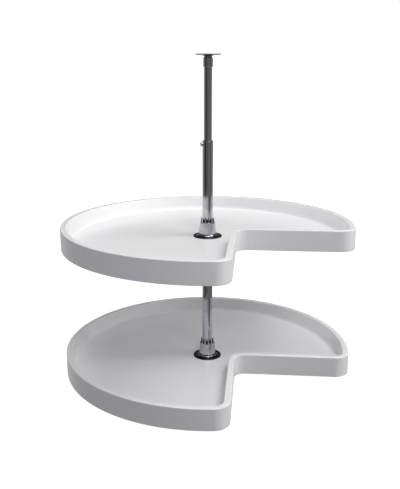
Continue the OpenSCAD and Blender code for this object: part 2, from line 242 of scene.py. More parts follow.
def noise(tree, place, scale, detail, stretch=(1, 1, 1)):
    """A noise between 0 and 1. stretch above 1 along an axis makes finer grains along it."""
    squeezed = node(tree, "ShaderNodeMapping", {"Vector": place, "Scale": stretch})
    inputs = {"Vector": squeezed.outputs[0], "Scale": scale, "Detail": detail}
    return node(tree, "ShaderNodeTexNoise", inputs).outputs[0]


def roughen(tree, shader, pattern):
    """Feeds a pattern to the shader's roughness."""
    tree.links.new(pattern, shader.inputs["Roughness"])


def bump(tree, shader, height, depth, strength):
    """Feeds a height pattern to the shader's normal. depth is in metres."""
    inputs = {"Height": height, "Distance": depth, "Strength": strength}
    tree.links.new(node(tree, "ShaderNodeBump", inputs).outputs[0], shader.inputs["Normal"])


# %% [markdown]
# ### White polymer
# The trays are injection moulded. The mould's skin is finely etched, so the surface is satin:
# it has a soft sheen but no sharp reflection. Long thin rub marks from jars and tins are
# rougher than the skin, and the colour wanders by a hair from place to place.

# %% The trays' finish
COOL_WHITE = (0.924, 0.926, 0.94)
PURE_WHITE = (0.938, 0.938, 0.944)
WHITE, WHITE_TREE, WHITE_SHADER, WHITE_PLACE = start_finish("moulded_white_polymer", COOL_WHITE)
MOULD_GRAIN = noise(WHITE_TREE, WHITE_PLACE, 1400, detail=3.0)
FLOW = noise(WHITE_TREE, WHITE_PLACE, 9, detail=2.0)
RUBBED = noise(WHITE_TREE, WHITE_PLACE, 60, detail=4.0, stretch=(1, 14, 1))
WHITE_TINT = node(WHITE_TREE, "ShaderNodeMix", {
    0: FLOW, "A": (*COOL_WHITE, 1), "B": (*PURE_WHITE, 1)}, data_type="RGBA")
WHITE_TREE.links.new(WHITE_TINT.outputs["Result"], WHITE_SHADER.inputs["Base Color"])
roughen(WHITE_TREE, WHITE_SHADER, maths(
    WHITE_TREE, "ADD", ramp(WHITE_TREE, FLOW, 0.22, 0.25),
    ramp(WHITE_TREE, RUBBED, 0.0, 0.04, from_low=0.55, from_high=0.75)))
bump(WHITE_TREE, WHITE_SHADER, MOULD_GRAIN, depth=0.00002, strength=0.35)
print("finish:", WHITE.name)

# %% [markdown]
# ### Chrome
# Chrome plate is a mirror, but never a perfect one. Polishing leaves hair-fine lines, drawn
# along the tube, and fingers leave a slow haze in the roughness.

# %% The plated parts' finish
CHROME, CHROME_TREE, CHROME_SHADER, CHROME_PLACE = start_finish(
    "chrome_plate", (0.52, 0.53, 0.56), metallic=1.0)
POLISH_LINES = noise(CHROME_TREE, CHROME_PLACE, 900, detail=2.0, stretch=(1, 1, 0.02))
HAZE = noise(CHROME_TREE, CHROME_PLACE, 55, detail=3.0)
roughen(CHROME_TREE, CHROME_SHADER, maths(
    CHROME_TREE, "ADD", ramp(CHROME_TREE, HAZE, 0.05, 0.10),
    ramp(CHROME_TREE, POLISH_LINES, 0.0, 0.03)))
bump(CHROME_TREE, CHROME_SHADER, POLISH_LINES, depth=0.000001, strength=0.15)
print("finish:", CHROME.name)

# %% [markdown]
# ### Cast collars
# The collars are made here as castings that were tumbled and then plated. The plate is the
# same as the tubes', but it reflects more softly, with a faint grain in place of drawn lines.

# %% The collars' finish
CAST, CAST_TREE, CAST_SHADER, CAST_PLACE = start_finish(
    "plated_casting", (0.52, 0.53, 0.55), metallic=1.0)
CAST_GRAIN = noise(CAST_TREE, CAST_PLACE, 900, detail=3.0)
CAST_HAZE = noise(CAST_TREE, CAST_PLACE, 130, detail=3.0)
roughen(CAST_TREE, CAST_SHADER, ramp(CAST_TREE, CAST_HAZE, 0.13, 0.21))
bump(CAST_TREE, CAST_SHADER, CAST_GRAIN, depth=0.000003, strength=0.2)
print("finish:", CAST.name)

# %% [markdown]
# ### Dull plate
# In the photograph the top plate is darker and duller than the tubes. Its finish is a plated
# metal too, with a deeper grey and a rougher skin, so it mirrors less of the room.

# %% The top plate's finish
DULL, DULL_TREE, DULL_SHADER, DULL_PLACE = start_finish(
    "dull_plated_steel", (0.30, 0.305, 0.32), metallic=1.0)
DULL_GRAIN = noise(DULL_TREE, DULL_PLACE, 350, detail=3.0)
roughen(DULL_TREE, DULL_SHADER, ramp(DULL_TREE, DULL_GRAIN, 0.16, 0.26))
bump(DULL_TREE, DULL_SHADER, DULL_GRAIN, depth=0.000003, strength=0.2)
print("finish:", DULL.name)

# %% [markdown]
# ### Black polymer and nylon
# The hub plates, ring nuts and collets are a glossy black polymer with a faint grain. The
# bushes and washers are natural nylon, which is off-white and a little waxy.

# %% The hub's and the bushes' finishes
BLACK, BLACK_TREE, BLACK_SHADER, BLACK_PLACE = start_finish(
    "black_polymer", (0.003, 0.003, 0.0035))
BLACK_SHADER.inputs["Specular IOR Level"].default_value = 0.3
BLACK_GRAIN = noise(BLACK_TREE, BLACK_PLACE, 1800, detail=2.0)
BLACK_WEAR = noise(BLACK_TREE, BLACK_PLACE, 220, detail=4.0)
roughen(BLACK_TREE, BLACK_SHADER, ramp(
    BLACK_TREE, BLACK_WEAR, 0.06, 0.12, from_low=0.3, from_high=0.7))
bump(BLACK_TREE, BLACK_SHADER, BLACK_GRAIN, depth=0.000004, strength=0.2)

NYLON, NYLON_TREE, NYLON_SHADER, NYLON_PLACE = start_finish("natural_nylon", (0.74, 0.72, 0.66))
NYLON_GRAIN = noise(NYLON_TREE, NYLON_PLACE, 700, detail=3.0)
roughen(NYLON_TREE, NYLON_SHADER, ramp(NYLON_TREE, NYLON_GRAIN, 0.38, 0.52))
bump(NYLON_TREE, NYLON_SHADER, NYLON_GRAIN, depth=0.00002, strength=0.3)
print("finishes:", BLACK.name, NYLON.name)

# %% [markdown]
# ## The kidney tray
# The tray is one moulding: a hollow rim carried round a kidney outline, and a ribbed floor
# inside it. It could be modelled by hand and bevelled, but its shape is a rule, so Geometry
# Nodes fit it well: one section swept along one outline, a fill for the floor, and ribs that
# find their own length by a ray cast to the skirt. First comes the outline: a round skirt,
# two outer corners, and the notch with its hollow inner corner.

# %% The kidney outline
NOTCH_WALL = 0.074
NOTCH_INNER_R = 0.025
NOTCH_OUTER_R = 0.038
SKIRT_STEPS = 190
CORNER_STEPS = 26
HOLLOW_STEPS = 22
CORNER_Y = NOTCH_OUTER_R - NOTCH_WALL
CORNER_X = math.sqrt((TRAY_R - NOTCH_OUTER_R) ** 2 - CORNER_Y ** 2)
CORNER_TURN = math.degrees(math.atan2(CORNER_Y, CORNER_X))
HOLLOW_CENTRE = NOTCH_WALL + NOTCH_INNER_R


def kidney():
    """Points of the outline, counter-clockwise from the corner near +X."""
    skirt = arc((0, 0), TRAY_R, CORNER_TURN, 270 - CORNER_TURN, SKIRT_STEPS)
    near_corner = arc((-CORNER_Y, -CORNER_X), NOTCH_OUTER_R, 270 - CORNER_TURN, 360, CORNER_STEPS)
    hollow = arc((HOLLOW_CENTRE, -HOLLOW_CENTRE), NOTCH_INNER_R, 180, 90, HOLLOW_STEPS)
    far_corner = arc((CORNER_X, CORNER_Y), NOTCH_OUTER_R, -90, CORNER_TURN, CORNER_STEPS)
    return skirt + near_corner[1:] + hollow + far_corner[:-1]


TRAY_PLAN = drawn("tray_plan", kidney(), closed=True)
print("kidney outline:", len(kidney()), "points")

# %% [markdown]
# The rim's section is drawn in the same plane: x is the way out of the tray, and y is the
# depth below the rim's top, because a sweep with upright normals lays the profile out so. The
# section starts and ends at the floor, where the fill takes over.

# %% The rim's section
RIM_W = 0.015
RIM_WALL = 0.003
RIM_EDGE = 0.0024
FOOT_EDGE = 0.0011
COVE_R = 0.011
RIM_FOOT = 0.001
HOLLOW_R = 0.0012
FLOOR_STRIP = 0.003
FLOOR_END = -(RIM_W + COVE_R + FLOOR_STRIP)
RIM_SECTION = drawn("rim_section", rounded([
    (FLOOR_END, TRAY_DEPTH, 0),
    (-RIM_W, TRAY_DEPTH, COVE_R),
    (-RIM_W, 0, RIM_EDGE),
    (0, 0, RIM_EDGE),
    (0, TRAY_H, FOOT_EDGE),
    (-RIM_WALL, TRAY_H, FOOT_EDGE),
    (-RIM_WALL, RIM_WALL, HOLLOW_R),
    (RIM_WALL - RIM_W, RIM_WALL, HOLLOW_R),
    (RIM_WALL - RIM_W, FLOOR_UNDER + RIM_FOOT, RIM_FOOT / 2),
    (-RIM_W, FLOOR_UNDER + RIM_FOOT, RIM_FOOT / 2),
    (-RIM_W, FLOOR_UNDER, 0),
    (FLOOR_END, FLOOR_UNDER, 0),
], steps=8), closed=False)
print("rim section:", len(RIM_SECTION.data.splines[0].points), "points")

# %% [markdown]
# The boss round the hub's hole and the ribs have their own small sections. The ribs are drawn
# from inside the floor down to their rounded lower edge.

# %% The boss's and the ribs' sections
SPIGOT_HOLE_R = 0.02019
BOSS_R = 0.034
BOSS_H = 0.003
BOSS_EDGE = 0.0008
RIB_T = 0.0024
RIB_EDGE = RIB_T / 3
RIB_H = 0.008
RIB_COUNT = 16
RING_RIB_R = 0.195
RIB_SUNK = 0.0008
BOSS_SECTION = drawn("boss_section", rounded([
    (BOSS_EDGE, TRAY_DEPTH, 0),
    (0, TRAY_DEPTH + BOSS_EDGE, 0),
    (0, FLOOR_UNDER + BOSS_H, BOSS_EDGE / 2),
    (BOSS_R - SPIGOT_HOLE_R, FLOOR_UNDER + BOSS_H, BOSS_EDGE),
    (BOSS_R - SPIGOT_HOLE_R, FLOOR_UNDER, 0),
]), closed=False)
RIB_SECTION = drawn("rib_section", rounded([
    (-RIB_T / 2, FLOOR_UNDER - RIB_SUNK, 0),
    (-RIB_T / 2, FLOOR_UNDER + RIB_H, RIB_EDGE),
    (RIB_T / 2, FLOOR_UNDER + RIB_H, RIB_EDGE),
    (RIB_T / 2, FLOOR_UNDER - RIB_SUNK, 0),
], steps=4), closed=True)
print("ribs in each tray:", RIB_COUNT, "radial and one ring")


# %% [markdown]
# ### The tray's tree
# The tree is built in steps. A small function starts a tree with named inputs, so that each
# size shows by name in the modifier, and another one ends it. A third one runs it: it sets the
# modifier's inputs before the object is first evaluated, and keeps the result as a plain mesh.

# %% Start a geometry tree
def start_tree(name, inputs):
    """A new tree with named inputs, and its group input node."""
    tree = bpy.data.node_groups.new(name, "GeometryNodeTree")
    tree.interface.new_socket("Geometry", in_out="INPUT", socket_type="NodeSocketGeometry")
    for label, kind in inputs.items():
        tree.interface.new_socket(label, in_out="INPUT", socket_type="NodeSocket" + kind)
    tree.interface.new_socket("Geometry", in_out="OUTPUT", socket_type="NodeSocketGeometry")
    return tree, tree.nodes.new("NodeGroupInput").outputs


def end_tree(tree, geometry, material):
    """Realizes, sets the material and joins the result to the tree's output."""
    real = node(tree, "GeometryNodeRealizeInstances", {0: geometry})
    dressed = node(tree, "GeometryNodeSetMaterial", {0: real.outputs[0], "Material": material})
    node(tree, "NodeGroupOutput", {0: dressed.outputs[0]})


def grown(name, tree, values, material):
    """Runs a tree on an empty host and returns the result as a plain, shaded mesh."""
    host = link(name + "_host", bpy.data.meshes.new(name + "_host"))
    modifier = host.modifiers.new(tree.name, "NODES")
    modifier.node_group = tree
    sockets = {s.name: s.identifier for s in tree.interface.items_tree if s.in_out == "INPUT"}
    for label, value in {**values, "Material": material}.items():
        modifier[sockets[label]] = value
    return shaded(host, name, material)


# %% [markdown]
# The rim is a sweep. Its two open edges, at the top and at the underside of the floor, are
# found as edges with one face. Each is turned back into a curve, joined with a circle for the
# hub, and filled. The boss is a second small sweep that closes the two circles.

# %% The rim, the floor and the boss
TRAY_TREE, TRAY_IN = start_tree("Kidney tray", {
    "Plan": "Object", "Section": "Object", "Boss section": "Object", "Rib section": "Object",
    "Depth to floor": "Float", "Depth to underside": "Float", "Hole radius": "Float",
    "Hole edge": "Float", "Boss radius": "Float", "Rib count": "Int", "Rib start": "Float",
    "Rib ray depth": "Float", "Skirt wall": "Float", "Ring radius": "Float",
    "Ring start": "Float", "Ring sweep": "Float", "Height": "Float", "Material": "Material"})
CIRCLE_POINTS = 128
SEAM_GAP = 0.00001


def seen(label):
    """The geometry of an object input."""
    info = node(TRAY_TREE, "GeometryNodeObjectInfo", {"Object": TRAY_IN[label]})
    return info.outputs["Geometry"]


def swept(tree, path, section, caps=False):
    """A section swept along a path with upright normals."""
    upright = node(tree, "GeometryNodeSetCurveNormal", {0: path}, mode="Z_UP").outputs[0]
    inputs = {"Curve": upright, "Profile Curve": section, "Fill Caps": caps}
    return node(tree, "GeometryNodeCurveToMesh", inputs).outputs[0]


def circle(radius):
    """A circle with as many points at any radius, so that edges meet."""
    inputs = {"Resolution": CIRCLE_POINTS, "Radius": radius}
    return node(TRAY_TREE, "GeometryNodeCurvePrimitiveCircle", inputs).outputs[0]


def joined(tree, *parts):
    """One geometry from several."""
    made = node(tree, "GeometryNodeJoinGeometry")
    for part in parts:
        tree.links.new(part, made.inputs[0])
    return made.outputs[0]


RIM = swept(TRAY_TREE, seen("Plan"), seen("Section"))
OPEN_EDGE = node(TRAY_TREE, "FunctionNodeCompare", {
    2: node(TRAY_TREE, "GeometryNodeInputMeshEdgeNeighbors").outputs[0], 3: 1},
    data_type="INT", operation="EQUAL").outputs[0]
EDGE_DEPTH = maths(TRAY_TREE, "MULTIPLY", node(TRAY_TREE, "ShaderNodeSeparateXYZ", {
    0: node(TRAY_TREE, "GeometryNodeInputPosition").outputs[0]}).outputs["Z"], -1.0)
MID_FLOOR = maths(TRAY_TREE, "DIVIDE", maths(
    TRAY_TREE, "ADD", TRAY_IN["Depth to floor"], TRAY_IN["Depth to underside"]), 2.0)


def floor_face(below, hub_radius, depth):
    """One side of the floor, filled between the rim's open edge and the hub's circle."""
    side = maths(TRAY_TREE, "GREATER_THAN" if below else "LESS_THAN", EDGE_DEPTH, MID_FLOOR)
    chosen = node(TRAY_TREE, "FunctionNodeBooleanMath", {0: OPEN_EDGE, 1: side}, operation="AND")
    edge = node(TRAY_TREE, "GeometryNodeMeshToCurve", {0: RIM, "Selection": chosen.outputs[0]})
    loops = joined(TRAY_TREE, edge.outputs[0], circle(hub_radius))
    filled = node(TRAY_TREE, "GeometryNodeFillCurve", {0: loops}, mode="TRIANGLES").outputs[0]
    place = node(TRAY_TREE, "ShaderNodeCombineXYZ", {
        "Z": maths(TRAY_TREE, "MULTIPLY", depth, -1.0)}).outputs[0]
    return node(TRAY_TREE, "GeometryNodeTransform", {
        0: filled, "Translation": place}).outputs[0]


FLOOR_TOP = floor_face(
    below=False, hub_radius=maths(TRAY_TREE, "ADD", TRAY_IN["Hole radius"], TRAY_IN["Hole edge"]),
    depth=TRAY_IN["Depth to floor"])
FLOOR_BOTTOM = floor_face(
    below=True, hub_radius=TRAY_IN["Boss radius"], depth=TRAY_IN["Depth to underside"])
BOSS = swept(TRAY_TREE, circle(TRAY_IN["Hole radius"]), seen("Boss section"))
SHELL = node(TRAY_TREE, "GeometryNodeMergeByDistance", {
    0: joined(TRAY_TREE, RIM, FLOOR_TOP, FLOOR_BOTTOM, BOSS), "Distance": SEAM_GAP}).outputs[0]
print("tray tree so far:", len(TRAY_TREE.nodes), "nodes")

# %% [markdown]
# Each radial rib starts at the boss. A ray from the post's axis finds how far away the skirt
# is in that rib's direction, and the rib is stretched to that length. So the ribs are long
# under the round part and short under the notch, with no list of lengths. The ring rib is one
# arc that stops at the notch.

# %% The ribs
RAY_REACH = 1.0
RING_RIB_STEPS = 120
RIB_INDEX = node(TRAY_TREE, "GeometryNodeInputIndex").outputs[0]
RIB_ANGLE = maths(TRAY_TREE, "DIVIDE", maths(TRAY_TREE, "MULTIPLY", RIB_INDEX, math.tau),
                  TRAY_IN["Rib count"])
RIB_WAY = node(TRAY_TREE, "ShaderNodeCombineXYZ", {
    "X": maths(TRAY_TREE, "COSINE", RIB_ANGLE),
    "Y": maths(TRAY_TREE, "SINE", RIB_ANGLE)}).outputs[0]
RAY_START = node(TRAY_TREE, "ShaderNodeCombineXYZ", {
    "Z": maths(TRAY_TREE, "MULTIPLY", TRAY_IN["Rib ray depth"], -1.0)}).outputs[0]
RAY = node(TRAY_TREE, "GeometryNodeRaycast", {
    "Target Geometry": SHELL, "Source Position": RAY_START, "Ray Direction": RIB_WAY,
    "Ray Length": RAY_REACH})
RIB_LENGTH = maths(TRAY_TREE, "ADD", maths(
    TRAY_TREE, "SUBTRACT", RAY.outputs["Hit Distance"], TRAY_IN["Rib start"]),
    maths(TRAY_TREE, "DIVIDE", TRAY_IN["Skirt wall"], 2.0))
METRE_LINE = node(TRAY_TREE, "GeometryNodeCurvePrimitiveLine", {
    "Start": (0, 0, 0), "End": (1, 0, 0)}).outputs[0]
METRE_RIB = swept(TRAY_TREE, METRE_LINE, seen("Rib section"), caps=True)
RIB_POINTS = node(TRAY_TREE, "GeometryNodePoints", {"Count": TRAY_IN["Rib count"]}).outputs[0]
RIB_FEET = node(TRAY_TREE, "GeometryNodeSetPosition", {
    0: RIB_POINTS,
    "Offset": node(TRAY_TREE, "ShaderNodeVectorMath", {
        0: RIB_WAY, "Scale": TRAY_IN["Rib start"]}, operation="SCALE").outputs[0]}).outputs[0]
RIB_TURN = node(TRAY_TREE, "FunctionNodeEulerToRotation", {
    0: node(TRAY_TREE, "ShaderNodeCombineXYZ", {"Z": RIB_ANGLE}).outputs[0]}).outputs[0]
RIBS = node(TRAY_TREE, "GeometryNodeInstanceOnPoints", {
    "Points": RIB_FEET, "Instance": METRE_RIB, "Rotation": RIB_TURN,
    "Scale": node(TRAY_TREE, "ShaderNodeCombineXYZ", {
        "X": RIB_LENGTH, "Y": 1.0, "Z": 1.0}).outputs[0]}).outputs[0]
RING_ARC = node(TRAY_TREE, "GeometryNodeCurveArc", {
    "Resolution": RING_RIB_STEPS, "Radius": TRAY_IN["Ring radius"],
    "Start Angle": TRAY_IN["Ring start"], "Sweep Angle": TRAY_IN["Ring sweep"]},
    mode="RADIUS").outputs[0]
RING_RIB = swept(TRAY_TREE, RING_ARC, seen("Rib section"), caps=True)
RAISED = node(TRAY_TREE, "GeometryNodeTransform", {
    0: joined(TRAY_TREE, SHELL, RIBS, RING_RIB),
    "Translation": node(TRAY_TREE, "ShaderNodeCombineXYZ", {"Z": TRAY_IN["Height"]}).outputs[0]})
end_tree(TRAY_TREE, RAISED.outputs[0], TRAY_IN["Material"])
print("finished tray tree:", len(TRAY_TREE.nodes), "nodes")

# %% [markdown]
# Both trays are the same moulding at two heights, so one set of sizes serves both. The ring
# rib ends where its circle meets the middle of the notch's outer wall.

# %% Make both trays
RING_STOP = math.asin((NOTCH_WALL - RIM_WALL / 2) / RING_RIB_R)
TRAY_SIZES = {
    "Plan": TRAY_PLAN, "Section": RIM_SECTION, "Boss section": BOSS_SECTION,
    "Rib section": RIB_SECTION, "Depth to floor": TRAY_DEPTH, "Depth to underside": FLOOR_UNDER,
    "Hole radius": SPIGOT_HOLE_R, "Hole edge": BOSS_EDGE, "Boss radius": BOSS_R,
    "Rib count": RIB_COUNT, "Rib start": BOSS_R - RIB_T, "Rib ray depth": FLOOR_UNDER + RIB_H / 2,
    "Skirt wall": RIM_WALL, "Ring radius": RING_RIB_R, "Ring start": -RING_STOP,
    "Ring sweep": math.radians(270) + 2 * RING_STOP}
for level in LEVELS:
    tray = grown(f"{level}_kidney_tray", TRAY_TREE, {**TRAY_SIZES, "Height": RIM_TOP[level]}, WHITE)
    stands_for(tray, f"{level}_tray", f"{level}_shelf")
for pattern in (TRAY_PLAN, RIM_SECTION, BOSS_SECTION, RIB_SECTION):
    bpy.data.objects.remove(pattern)

# %% [markdown]
# ## Turned pieces
# The tubes, the cap, the top plate, the hub plates and the collars are all round. On a lathe
# each is one outline spun about the post's axis, and Blender's spin does the same. Outlines
# are pairs of radius and height.


# %% Spin an outline
def turned(name, outline, segments=144):
    """A closed outline of (radius, height) points, spun about the post's axis."""
    work = bmesh.new()
    verts = [work.verts.new((radius, 0, height)) for radius, height in outline]
    edges = [work.edges.new(pair) for pair in zip(verts, verts[1:] + verts[:1])]
    bmesh.ops.spin(work, geom=verts + edges, cent=(0, 0, 0), axis=(0, 0, 1),
                   angle=math.tau, steps=segments, use_merge=True)
    mesh = bpy.data.meshes.new(name)
    work.to_mesh(mesh)
    work.free()
    outward(mesh)
    return link(name + "_turned", mesh)


def pipe(outer, bore, low, high, edge):
    """The outline of a tube whose end edges are broken by a small rounding."""
    corners = [(bore, low), (outer, low), (outer, high), (bore, high)]
    return rounded([(radius, height, edge) for radius, height in corners], steps=4)


# %% [markdown]
# ### The post
# The outer tube is cut square and its burr is taken off. It has a hole for the lock screw,
# which a Boolean cuts along the screw's own axis. The inner tube slides in it.

# %% The two tubes
TUBE_WALL = 0.0012
TUBE_EDGE = 0.0004
LOCK = next(joint for joint in frame["joints"] if joint["name"] == "lock_screw_turn")
LOCK_POINT = Vector(LOCK["pos_m"])
LOCK_WAY = Vector(LOCK["axis"])
LOCK_HOLE_R = 0.0028
LOCK_HOLE_REACH = 0.03


def drill(radius, length, point, way, segments=48):
    """A cylinder to cut with, from a point along a direction."""
    work = bmesh.new()
    tilt = way.to_track_quat("Z", "Y").to_matrix().to_4x4()
    bmesh.ops.create_cone(work, cap_ends=True, segments=segments, radius1=radius, radius2=radius,
                          depth=length, matrix=Matrix.Translation(point + way * length / 2) @ tilt)
    mesh = bpy.data.meshes.new("drill")
    work.to_mesh(mesh)
    work.free()
    return link("drill", mesh)


def cut_by(piece, tool):
    """Cuts a tool out of a piece and deletes the tool."""
    cut = piece.modifiers.new("cut", "BOOLEAN")
    cut.operation = "DIFFERENCE"
    cut.solver = "EXACT"
    cut.object = tool
    made = evaluated(piece, piece.name)
    bpy.data.objects.remove(tool)
    return made


outer_tube = turned("outer_tube", pipe(
    OUTER_R, OUTER_R - TUBE_WALL, OUTER_FOOT, OUTER_TOP, TUBE_EDGE))
outer_tube = cut_by(outer_tube, drill(LOCK_HOLE_R, LOCK_HOLE_REACH, LOCK_POINT, LOCK_WAY))
outer_tube = shaded(outer_tube, "chromed_outer_tube", CHROME)
stands_for(outer_tube, "outer_tube", "stand")
inner_tube = turned("inner_tube", pipe(
    INNER_R, INNER_R - TUBE_WALL, INNER_FOOT, INNER_TOP, TUBE_EDGE))
inner_tube = shaded(inner_tube, "chromed_inner_tube", CHROME)
stands_for(inner_tube, "inner_tube", "extension")

# %% [markdown]
# ### The cap
# The cap is pressed over the inner tube's end, and the top plate's spigot sits in it. Its
# upper edge has a wide rounding, which shows in the photograph as a soft shoulder.

# %% The cap
SEAT = 0.00005
CAP_R = 0.01135
CAP_EDGE = 0.0022
CAP_FOOT_EDGE = CAP_EDGE / 10
CAP_MOUTH_EDGE = 0.0002
SPIGOT_R = 0.006
tube_seat = INNER_R + SEAT
spigot_seat = SPIGOT_R + SEAT
cap = turned("cap", rounded([
    (tube_seat, CAP_LOW, CAP_MOUTH_EDGE), (CAP_R, CAP_LOW, CAP_FOOT_EDGE),
    (CAP_R, CAP_HIGH, CAP_EDGE), (spigot_seat, CAP_HIGH, CAP_MOUTH_EDGE),
    (spigot_seat, INNER_TOP, 0), (tube_seat, INNER_TOP, 0)]))
cap = shaded(cap, "chromed_post_cap", CHROME)
stands_for(cap, "top_cap", "extension")

# %% [markdown]
# ### The top plate
# The plate is screwed under the cabinet's top. Its neck stands on the cap and widens in a
# shallow cone into a thin round plate. All of it is one turned outline, and a Boolean drills
# each of the three plain screw holes.

# %% The top plate
PLATE_R = 0.030
PLATE_T = 0.0022
PLATE_EDGE = 0.0009
SPIGOT_EDGE = 0.0005
NECK_R = 0.0092
NECK_ROUND = 0.002
FLARE_OUT = 0.0165
FLARE_H = 0.0028
FLARE_ROUND = 0.004
HOLE_PCD_R = 0.021
HOLE_R = 0.0022
HOLE_COUNT = 3
DRILL_LEAD = 0.001
DRILL_LENGTH = 0.005
spigot_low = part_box("top_plate")[0].z
plate_low = PLATE_TOP - PLATE_T
plate = turned("plate", rounded([
    (0, spigot_low, 0), (SPIGOT_R, spigot_low, SPIGOT_EDGE),
    (SPIGOT_R, CAP_HIGH, 0), (NECK_R, CAP_HIGH, 0),
    (NECK_R, plate_low - FLARE_H, NECK_ROUND), (FLARE_OUT, plate_low, FLARE_ROUND),
    (PLATE_R, plate_low, PLATE_EDGE), (PLATE_R, PLATE_TOP, PLATE_EDGE),
    (0, PLATE_TOP, 0)], steps=8))
for i in range(HOLE_COUNT):
    turn = math.tau * i / HOLE_COUNT
    start = Vector((HOLE_PCD_R * math.cos(turn), HOLE_PCD_R * math.sin(turn),
                    plate_low - DRILL_LEAD))
    plate = cut_by(plate, drill(HOLE_R, DRILL_LENGTH, start, Vector((0, 0, 1))))
plate = shaded(plate, "plated_top_plate", DULL)
stands_for(plate, "top_plate", "extension")

# %% [markdown]
# ### The hub plates and their trim rings
# The black disc under each collar is the flange of the bushing that carries the tray. Its
# middle is raised, and both edges have a wide bevel. The photograph shows bright curved lines
# round the collar's foot, and a thin plated ring gives them here. Its cheek is an arc and not
# a flat cone, so that some part of it always faces a light.

# %% Two hub plates and two rings
HUB_R = 0.0355
HUB_T = 0.0024
STEP_R = 0.0282
STEP_H = 0.004
HUB_BORE = 0.01614
SPIGOT_OUT = 0.02014
EDGE_BEVEL = 0.0011
EDGE_LAND = HUB_T / 5
STEP_BEVEL = 0.0009
FOOT_ROUND = 0.0004
CREASE_ROUND = 0.0001
BEVEL_ROUND = 0.0002
BORE_ROUND = 0.0006
TRIM_IN = 0.0214
TRIM_OUT = 0.0244
TRIM_ROUND = 0.0037
TRIM_LOW, TRIM_HIGH = 18, 48
TRIM_STEPS = 6


def trim_outline(foot):
    """A ring with a flat foot. Its cheek is an arc from TRIM_LOW to TRIM_HIGH degrees."""
    low = math.radians(TRIM_LOW)
    centre = (TRIM_OUT - TRIM_ROUND * math.cos(low), foot - TRIM_ROUND * math.sin(low))
    cheek = arc(centre, TRIM_ROUND, TRIM_LOW, TRIM_HIGH, TRIM_STEPS)
    return [(TRIM_IN, foot), *cheek, (TRIM_IN, cheek[-1][1])]


for level in LEVELS:
    floor_z = RIM_TOP[level] - TRAY_DEPTH
    foot_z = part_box(f"{level}_hub_plate")[0].z
    hub = turned(f"{level}_hub", rounded([
        (HUB_BORE, foot_z, FOOT_ROUND), (SPIGOT_OUT, foot_z, FOOT_ROUND), (SPIGOT_OUT, floor_z, 0),
        (HUB_R, floor_z, 0), (HUB_R, floor_z + EDGE_LAND, CREASE_ROUND),
        (HUB_R - EDGE_BEVEL, floor_z + HUB_T, BEVEL_ROUND),
        (STEP_R, floor_z + HUB_T, CREASE_ROUND),
        (STEP_R - STEP_BEVEL, floor_z + STEP_H, BEVEL_ROUND),
        (HUB_BORE, floor_z + STEP_H, BORE_ROUND)]))
    hub = shaded(hub, f"{level}_black_hub_plate", BLACK)
    stands_for(hub, f"{level}_hub_plate", f"{level}_shelf")
    trim = turned(f"{level}_trim", trim_outline(floor_z + STEP_H))
    trim = shaded(trim, f"{level}_chromed_trim_ring", CHROME)
    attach(trim, f"{level}_shelf")

# %% [markdown]
# ### The lock collars
# Each collar is a bulging plated sleeve with a crown of notches, for a spanner or a grip. The
# body is turned. The crown repeats, so it is one tooth, copied round by Geometry Nodes.

# %% The ring of copies
RING_TREE, RING_IN = start_tree("Ring of copies", {
    "Piece": "Object", "Body": "Object", "Count": "Int", "Start angle": "Float",
    "Material": "Material"})
RING_POINTS = node(RING_TREE, "GeometryNodePoints", {"Count": RING_IN["Count"]}).outputs[0]
STEP_ANGLE = maths(RING_TREE, "DIVIDE", math.tau, RING_IN["Count"])
COPY_ANGLE = maths(RING_TREE, "MULTIPLY_ADD", node(
    RING_TREE, "GeometryNodeInputIndex").outputs[0], STEP_ANGLE, RING_IN["Start angle"])
COPY_TURN = node(RING_TREE, "FunctionNodeEulerToRotation", {
    0: node(RING_TREE, "ShaderNodeCombineXYZ", {"Z": COPY_ANGLE}).outputs[0]}).outputs[0]
COPY_PIECE = node(RING_TREE, "GeometryNodeObjectInfo", {"Object": RING_IN["Piece"]})
COPIES = node(RING_TREE, "GeometryNodeInstanceOnPoints", {
    "Points": RING_POINTS, "Instance": COPY_PIECE.outputs["Geometry"], "Rotation": COPY_TURN})
COPY_BODY = node(RING_TREE, "GeometryNodeObjectInfo", {"Object": RING_IN["Body"]})
end_tree(RING_TREE, joined(RING_TREE, COPIES.outputs[0], COPY_BODY.outputs["Geometry"]),
         RING_IN["Material"])
print("tree for copies:", len(RING_TREE.nodes), "nodes")

# %% [markdown]
# A tooth stands between two notches of even width, so it is a little wider outside than
# inside. Its outer face leans in towards the top. It is a loft between two outlines, and a
# Bevel modifier breaks its edges.

# %% One tooth of the crown
CROWN_OUT = 0.0173
CROWN_IN = 0.0153
CROWN_H = 0.012
CROWN_LEAN = 0.0016
NOTCH_W = 0.0058
NOTCHES = 12
TOOTH_SUNK = 0.0006
TOOTH_STEPS = 8
TOOTH_BEVEL = 0.0002
TOOTH_BEVEL_ANGLE = math.radians(40)


def tooth_plan(outer):
    """A tooth's plan between two notches, as wide as they leave it at each radius."""
    half = {r: math.pi / NOTCHES - math.asin(NOTCH_W / 2 / r) for r in (CROWN_IN, outer)}
    return [(r * math.cos(t), r * math.sin(t)) for r, way in ((outer, 1), (CROWN_IN, -1))
            for t in (way * half[r] * (2 * i / TOOTH_STEPS - 1) for i in range(TOOTH_STEPS + 1))]


